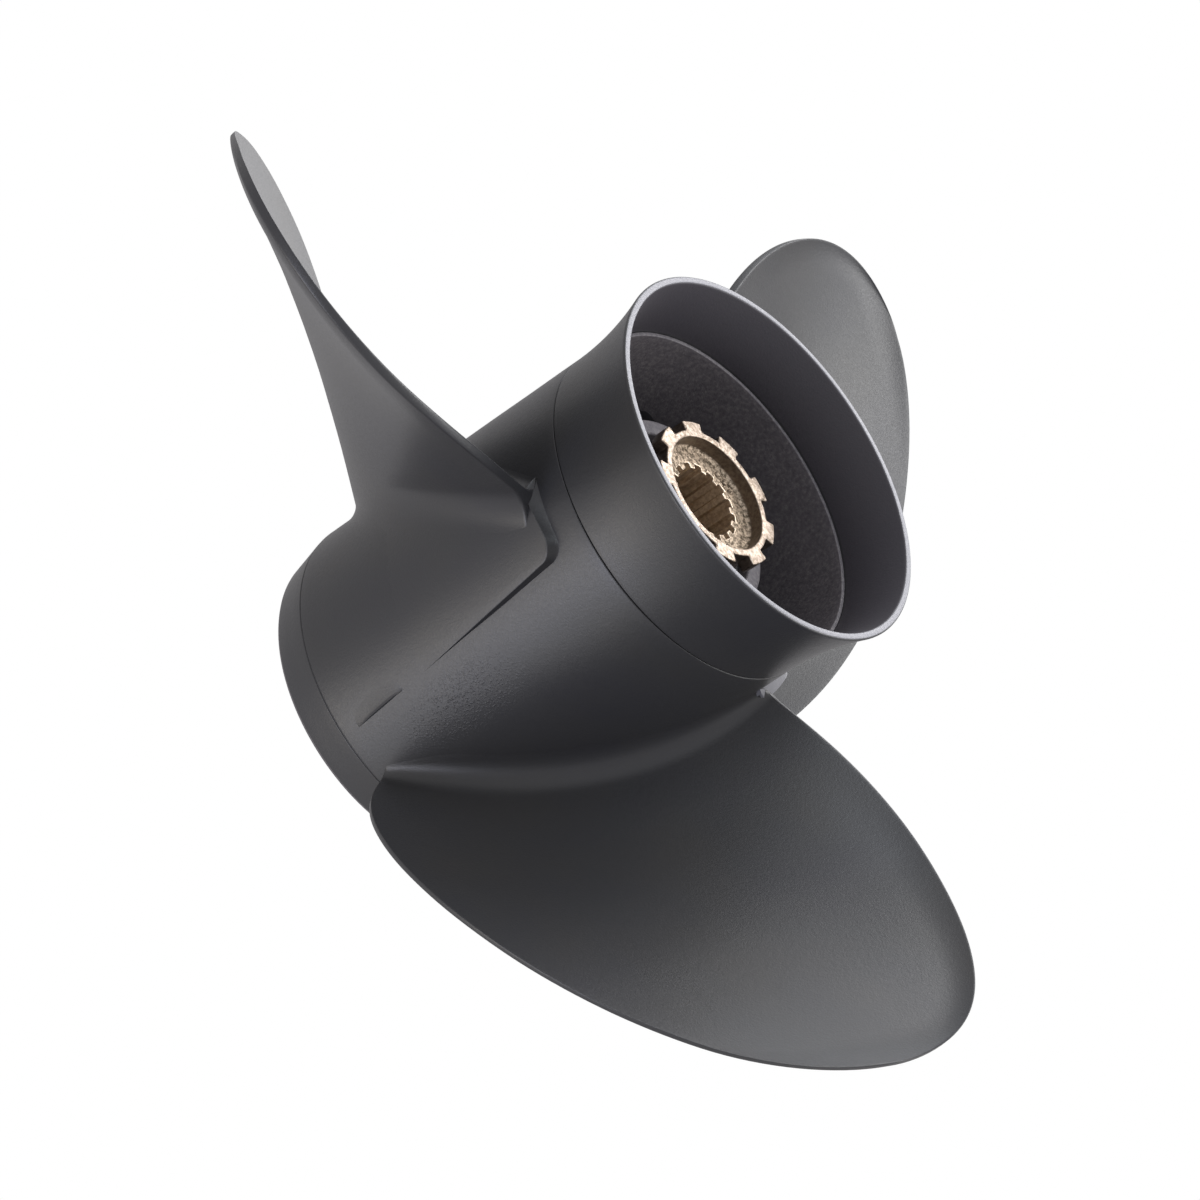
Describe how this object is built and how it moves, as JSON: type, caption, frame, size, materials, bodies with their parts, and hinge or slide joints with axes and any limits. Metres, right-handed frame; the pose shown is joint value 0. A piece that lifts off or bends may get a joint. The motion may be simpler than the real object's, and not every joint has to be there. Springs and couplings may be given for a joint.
{
  "type": "boat propeller",
  "caption": "Outboard or sterndrive propeller with swept blades on an exhaust barrel, flared aft ring and rubber-cushioned splined brass drive sleeve.",
  "frame": {"origin": "on the shaft axis, in the plane of the barrel's front edge, at the mouth of the socket that fits over the gearcase end", "axes": "+Z along the shaft axis pointing aft, out of the flared ring; +Y through the root middle of blade 1; X completes the right-handed set"},
  "size_m": [0.3068, 0.2925, 0.1475],
  "materials": {
    "satin_black_paint": "satin black paint over cast aluminium",
    "hub_paint": "thin satin paint over cast aluminium",
    "bush_rubber": "matte moulded rubber",
    "cast_brass": "bare, as cast on the floor and machined on the ring"
  },
  "bodies": {
    "drive_core": {"spline_sleeve": "cast_brass", "rubber_bush": "bush_rubber"},
    "casting": {"barrel": "satin_black_paint", "diffuser_ring": "satin_black_paint", "blade_1": "satin_black_paint", "blade_2": "satin_black_paint", "blade_3": "satin_black_paint", "inner_hub": "hub_paint", "rib_1": "hub_paint", "rib_2": "hub_paint", "rib_3": "hub_paint"}
  },
  "joints": [
    {"name": "cushion_twist", "type": "hinge", "parent": "drive_core", "child": "casting", "pos_m": [0, 0, 0.067], "axis": [0, 0, 1], "range_deg": [-10, 10], "stiffness_Nm_per_rad": 400}
  ]
}
